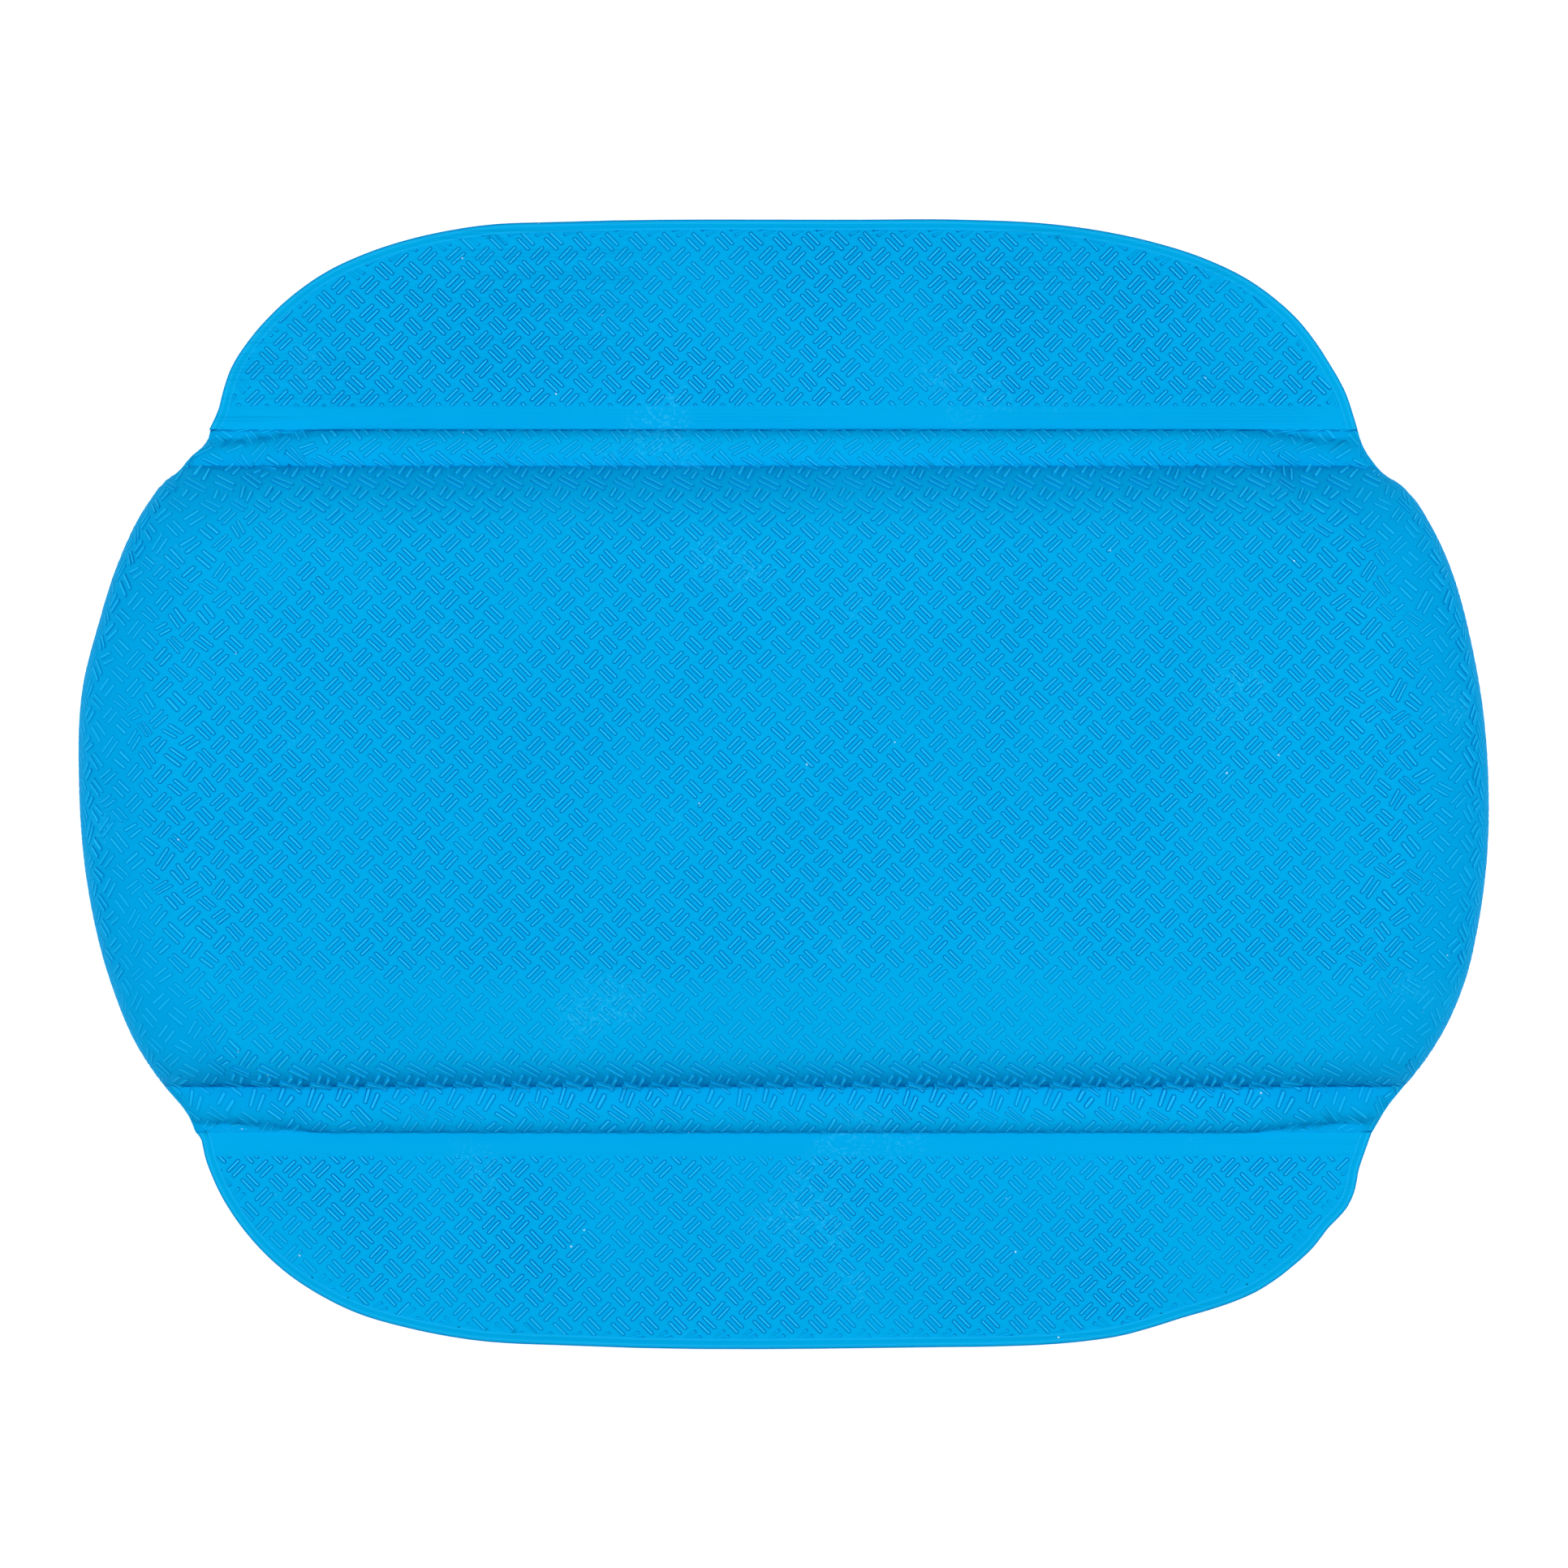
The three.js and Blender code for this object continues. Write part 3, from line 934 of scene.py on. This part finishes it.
def make_flap_skin(side):
    sign, foot = side["sign"], side["foot"]
    edge = flap_outline(side)
    inner = edge + inward_normals(edge, sign) * FLAP_RIM
    loop = np.vstack([inner, [[inner[-1, 0], 0], [inner[0, 0], 0]]])
    sheet = flat_flap_sheet(side, loop)
    p, q, relief = flat_arrays(sheet)
    outside = ~inside_loop(p, q, loop)
    near_edge = nearest_on(inner, p[outside], q[outside])
    on_foot = np.abs(q[outside] - sign * foot) < 1e-4
    p[outside] = near_edge[:, 0]
    q[outside] = np.where(on_foot, q[outside], near_edge[:, 1])
    patchy = side["flap_relief"] + 0.2 * ripple(p, q, 45, 61)
    strength = np.clip(patchy, 0.3, 1.15) * smoothstep(BAND, BAND + 0.35, q * sign - foot)
    strength[outside] = 0
    # The bars' painted shade on their sides and painted highlight on their tops, as strong as their relief
    shade_bars(sheet, strength, strength)
    height = RELIEF * relief * strength
    set_places(sheet, np.stack([p, q, flap_level(side, p, q) + height], axis=1))
    drop_outside(sheet, outside)
    add_rim(sheet, side, edge)
    skin = to_object(f"{side['name']}_flap_top", sheet, EMBOSSED)
    tooled = skin.data.attributes.new("tooled", "FLOAT", "FACE")
    tooled.data.foreach_set("value", [side["tooled"]] * len(skin.data.polygons))
    bend_with_flap(skin, side)
    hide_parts(f"{side['name']}_flap_skin")


# The rim's section as (inset, rise, shade), from the emboss outwards. The shade is painted into the colour
# of the strip running
# out to the point: a painted highlight makes a pale line on the rounded edge, and painted shade darkens the
# edge outside it.
RIM_PROFILE = [
    (FLAP_RIM + 0.35, -0.12, 0), (FLAP_RIM + 0.05, 0.0, 0), (FLAP_RIM - 0.15, 0.2, -0.3),
    (FLAP_RIM - 0.45, 0.18, -0.3), (FLAP_RIM - 0.7, 0.0, 0), (1.2, -0.05, 0), (0.75, -0.2, -0.45),
    (0.42, -0.5, -0.2), (0.15, -0.95, 0.5), (0.02, -1.5, 0.7), (0.05, -2.3, 0.4), (0.5, -2.5, 0),
]


def add_rim(sheet, side, edge):
    """The smooth welded rim round the flap: a fine ridge, then the rounded edge, down to the backing."""
    normals = inward_normals(edge, side["sign"])
    layer = sheet.faces.layers.float["painted_light"]
    rows = []
    for inset, up, _ in RIM_PROFILE:
        line = edge + normals * inset
        line[[0, -1], 1] = side["sign"] * side["foot"]
        level = flap_level(side, line[:, 0], line[:, 1]) + up
        rows.append([sheet.verts.new(point) for point in (np.column_stack([line, level]) * MM).tolist()])
    for first, second, (_, _, shade) in zip(rows, rows[1:], RIM_PROFILE[1:]):
        for k in range(len(first) - 1):
            corners = (first[k], first[k + 1], second[k + 1], second[k])
            face = sheet.faces.new(corners if side["sign"] < 0 else corners[::-1])
            face.smooth = True
            # The strip's painted highlight and painted shade, from RIM_PROFILE
            face[layer] = shade


def bend_with_flap(piece, side):
    """Bends a ply of the flap across the whole band."""
    start, end = side["sign"] * side["foot"], side["sign"] * (side["foot"] + BAND)
    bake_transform(piece, "pad", f"{side['name']}_flap", start=(0, start * MM, FLAP_TOP * MM),
             end=(0, end * MM, FLAP_TOP * MM))


# The backs

WELD_INSET = 3.2
COLLAR_RADIUS = 8.5


def rows_across(half_right, half_left, ys, columns):
    """A grid of points whose rows, one for each of ys, run from the left end to the right one."""
    across = np.linspace(-1, 1, columns)
    x = np.where(across > 0, half_right[:, None] * across, half_left[:, None] * across)
    return x, np.repeat(ys[:, None], columns, axis=1)


def closed_grids(x, y, bottom, top):
    """The bottom, the top and the four upright sides between two levels over the same grid."""
    low = np.stack([x, y, np.broadcast_to(bottom, x.shape)], axis=2)
    high = np.stack([x, y, np.broadcast_to(top, x.shape)], axis=2)
    walls = [np.stack([low[:, k], high[:, k]], axis=1) for k in (0, -1)]
    ends = [np.stack([low[k], high[k]], axis=1) for k in (0, -1)]
    return [low, high, *walls, *ends]


def weld_line(distance, depth, width):
    """A line sunk into a back sheet, running round it a few millimetres from its edge."""
    return depth * np.exp(-(((distance - WELD_INSET) / width) ** 2))


def rounded_edge(distance):
    """How far a back sheet's underside lifts towards its edge."""
    return 0.5 * (1 - smoothstep(0, 0.8, distance))


def make_pad_back():
    ys = np.linspace(-LOWER["foot"], UPPER["foot"], 90)
    right, left = pad_half_length(ys, True), pad_half_length(ys, False)
    x, y = rows_across(right, left, ys, columns=120)
    distance = np.where(x > 0, right[:, None], left[:, None]) - np.abs(x)
    uneven = 0.5 * ripple(x, y, 60, 71) * smoothstep(4, 30, distance)
    uneven *= smoothstep(0, 20, UPPER["foot"] - np.abs(y))
    seam = np.maximum(weld_line(distance, 0.35, 0.7) - 0.5 * (1 - smoothstep(0, 1.0, distance)), 0)
    bottom = BACK_BOTTOM + seam + np.maximum(uneven, -0.25) + rounded_edge(distance)
    back = grid_mesh("pad_back_sheet", closed_grids(x, y, bottom, BACK_TOP), BACK)
    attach(back, "pad")
    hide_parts("pad_back")


def make_flap_backing(side):
    """The flap's smooth bottom ply, in rows that are closer at the band and at the outer edge."""
    sign, foot = side["sign"], side["foot"]
    edge = flap_outline(side)
    split = np.abs(edge[:, 1]).argmax()
    far = np.abs(edge[:, 1]).max()
    share = np.concatenate([
        np.linspace(0, 0.115, 12, endpoint=False), np.linspace(0.115, 0.8, 40, endpoint=False),
        0.8 + 0.2 * np.sin(np.linspace(0, math.pi / 2, 26)),
    ])
    distances = foot + (far - foot) * share
    right, left = edge[:split + 1], edge[split:][::-1]
    reach = [np.interp(distances, np.abs(half[:, 1]), half[:, 0]) for half in (right, left)]
    across = np.linspace(0, 1, 110)
    x = reach[1][:, None] + (reach[0] - reach[1])[:, None] * across
    y = np.repeat(sign * distances[:, None], len(across), axis=1)
    nearest = nearest_on(edge, x.ravel(), y.ravel())
    gap = np.hypot(nearest[:, 0] - x.ravel(), nearest[:, 1] - y.ravel()).reshape(x.shape)
    gap = np.where(np.abs(y) < foot + BAND, np.minimum(reach[0][:, None] - x, x - reach[1][:, None]), gap)
    collars = sum(
        0.3 * smoothstep(1.2, 0.2, np.abs(np.hypot(x - cx, y - cy) - COLLAR_RADIUS))
        for cx, cy in cup_places(side)
    )
    bottom = BACK_BOTTOM + rounded_edge(gap) + weld_line(gap, 0.3, 0.6) - collars
    grids = closed_grids(x, y, bottom, BACK_TOP + 0.1)
    backing = grid_mesh(f"{side['name']}_flap_back_sheet", grids, BACK)
    bend_with_flap(backing, side)
    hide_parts(f"{side['name']}_flap_backing")


# The suction cups

def cup_names(side):
    return [f"{side['name']}_suction_cup_{k}" for k in (1, 2, 3, 4)]


def cup_places(side):
    """The middle of each cup, from its CAD node."""
    return [tuple((sum(box_mm(name)) / 2)[:2]) for name in cup_names(side)]


# A cup's section as (radius, level): up the hollow and out to the lip, in over the bell, its ring and the
# shoulder, up the neck through the backing, and over the head
CUP_PROFILE = [
    (0, 4.4), (3, 4.2), (7, 3.3), (11, 1.8), (14.2, 0.35), (15.0, 0.02), (15.7, 0.05), (16, 0.4),
    (15.8, 0.9), (14.6, 1.9), (12.2, 3.6), (9.6, 5.4), (9.3, 5.5), (9.1, 5.9), (7.2, 7.2), (6.0, 8.6),
    (5.5, 10.2), (5.5, 11.3), (5.2, 11.65), (3.6, 11.7), (3.5, 13.6), (5.8, 13.62), (6.0, 13.9),
    (5.8, 14.45), (0, 14.6),
]
CUP_SIDES = 72
LIP_RADIUS = 16
LIP_WIDTH = 1.6
LIP_LEVEL = 1.2
TAB_HALF_ANGLE = 0.16
TAB_REACH = 4.0


def tab_reach(radius, level, turn):
    """How far the pull tab carries a point of the lip outwards."""
    if level >= LIP_LEVEL:
        return 0.0
    lip = max(0.0, 1 - abs(radius - LIP_RADIUS) / LIP_WIDTH)
    off = abs(math.remainder(turn, 2 * math.pi))
    return TAB_REACH * lip * float(smoothstep(TAB_HALF_ANGLE * 1.6, TAB_HALF_ANGLE * 0.7, off))


def make_cup(name, x, y, body, spin):
    """A moulded cup, whose pull tab points in the direction of spin."""
    turns = np.linspace(0, 2 * math.pi, CUP_SIDES, endpoint=False)
    cup = bmesh.new()
    rows = []
    for radius, level in CUP_PROFILE:
        if radius == 0:
            rows.append([cup.verts.new((0, 0, level))] * CUP_SIDES)
            continue
        row = []
        for turn in turns:
            reach = radius + tab_reach(radius, level, turn)
            row.append(cup.verts.new((reach * math.cos(turn), reach * math.sin(turn), level)))
        rows.append(row)
    for first, second in zip(rows, rows[1:]):
        for k in range(CUP_SIDES):
            following = (k + 1) % CUP_SIDES
            corners = [first[k], first[following], second[following], second[k]]
            cup.faces.new(list(dict.fromkeys(corners))).smooth = True
    bmesh.ops.recalc_face_normals(cup, faces=cup.faces)
    bmesh.ops.rotate(cup, verts=cup.verts, matrix=Matrix.Rotation(spin, 3, "Z"))
    for vert in cup.verts:
        vert.co = (vert.co + Vector((x, y, 0))) * MM
    piece = to_object(f"{name}_moulded", cup, CLEAR)
    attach(piece, body)
    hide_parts(name)


# The foam inside

def pad_height(x, y):
    """The pad's surface over the point x, y."""
    reach = pad_half_length(y, x > 0)
    height = section_level(x, y) - RIM
    run = roll_run(height)
    out = np.clip((np.abs(x) - reach + run) / run, 0, 1)
    return RIM + height * (1 - out**END_ROLL_POWER) ** (1 / END_ROLL_POWER)


# The foam stays this far below the cover's outside, and a little farther in from its ends and sides.
FOAM_CLEARANCE = 2.3
FOAM_END_GAP = 1.5
FOAM_SIDE_GAP = 1
LEAST_FOAM = 0.6


def make_foam(node):
    """A cut block of foam that fills the cover between the levels of its CAD node."""
    low, high = box_mm(node)
    ys = np.linspace(low[1] + FOAM_SIDE_GAP, high[1] - FOAM_SIDE_GAP, 70)
    inset = FOAM_CLEARANCE + FOAM_END_GAP
    right, left = (pad_half_length(ys, is_right) - inset for is_right in (True, False))
    x, y = rows_across(right, left, ys, columns=130)
    roof = pad_height(x + np.sign(x) * FOAM_CLEARANCE, y + np.sign(y) * FOAM_CLEARANCE) - FOAM_CLEARANCE
    top = np.clip(roof, low[2] + LEAST_FOAM, high[2])
    block = grid_mesh(f"{node}_block", closed_grids(x, y, low[2] + 0.05, top), FOAM)
    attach(block, "pad")
    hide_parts(node)


# The studio

# The camera looks straight down from here, on a frame this wide at the level of the flaps.
CAMERA_LEVEL = 1850.0
FRAME_WIDTH = 389.1
SENSOR = 36.0

# The lights are in metres and watts, as (place, size, power).
LIGHTS = {
    "left_box": ((-2.3, 0, 1.5), (1.6, 2.2), 24),
    "right_box": ((2.3, 0, 1.5), (1.6, 2.2), 24),
    "top_box": ((0, 0.1, 2.4), (1.4, 1.4), 41),
}
LIGHTS_AIM = (0, 0, 0.02)
WORLD_STRENGTH = 0.16
FLOOR_SIZE = 3.0


def make_camera():
    data = bpy.data.cameras.new("camera")
    data.sensor_width = SENSOR
    data.lens = SENSOR * (CAMERA_LEVEL - FLAP_TOP) / FRAME_WIDTH
    camera = bpy.data.objects.new("camera", data)
    camera.location = (0, 0, CAMERA_LEVEL * MM)
    bpy.context.scene.collection.objects.link(camera)
    bpy.context.scene.camera = camera


def area_light(name, place, size, power):
    data = bpy.data.lights.new(name, "AREA")
    data.shape = "RECTANGLE"
    data.size, data.size_y = size
    data.energy = power
    light = bpy.data.objects.new(name, data)
    light.location = place
    light.rotation_mode = "QUATERNION"
    light.rotation_quaternion = (Vector(LIGHTS_AIM) - Vector(place)).to_track_quat("-Z", "Y")
    bpy.context.scene.collection.objects.link(light)


def make_studio():
    floor = bmesh.new()
    bmesh.ops.create_grid(floor, x_segments=8, y_segments=8, size=FLOOR_SIZE)
    stage = to_object("floor", floor, floor_paper())
    world = bpy.data.worlds.new("studio")
    world.use_nodes = True
    background = world.node_tree.nodes["Background"]
    background.inputs["Color"].default_value = WHITE
    background.inputs["Strength"].default_value = WORLD_STRENGTH
    bpy.context.scene.world = world
    for name, (place, size, power) in LIGHTS.items():
        area_light(name, place, size, power)
    bpy.context.scene.view_settings.view_transform = "Standard"


make_camera()
make_pad_cover()
for the_side in SIDES:
    make_flap_skin(the_side)
    make_flap_backing(the_side)
    for cup_name, (cup_x, cup_y) in zip(cup_names(the_side), cup_places(the_side)):
        make_cup(cup_name, cup_x, cup_y, f"{the_side['name']}_flap", the_side["sign"] * math.pi / 2)
make_pad_back()
make_foam("foam_crown")
make_foam("foam_base")
make_studio()
